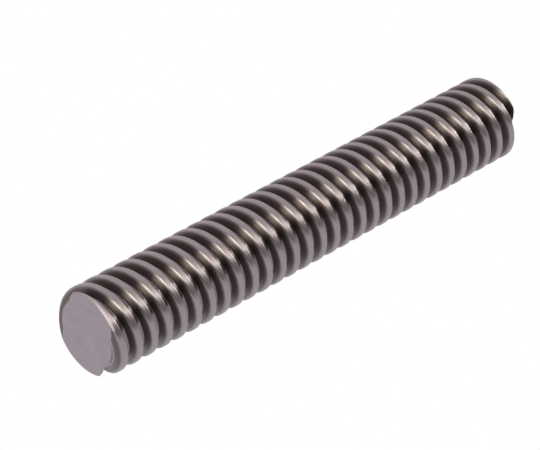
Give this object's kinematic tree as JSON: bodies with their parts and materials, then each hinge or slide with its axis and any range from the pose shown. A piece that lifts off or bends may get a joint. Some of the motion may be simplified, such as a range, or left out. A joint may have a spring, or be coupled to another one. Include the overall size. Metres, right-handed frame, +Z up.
{
  "type": "lead screw",
  "caption": "Straight steel lead screw with a multi-start right-hand trapezoidal thread along its whole length and square-cut ends, for driving a nut along a slide.",
  "frame": {"origin": "on the screw's axis, in the near end face", "axes": "+X along the screw's axis from the near end to the far end, +Z up as the screw lies on a bench"},
  "size_m": [0.15, 0.024, 0.024],
  "materials": {
    "rolled_steel": "rolled thread, bright along the ridges with dark grooves, and matt sawn ends"
  },
  "bodies": {
    "root": {"lead_screw": "rolled_steel"}
  },
  "joints": []
}
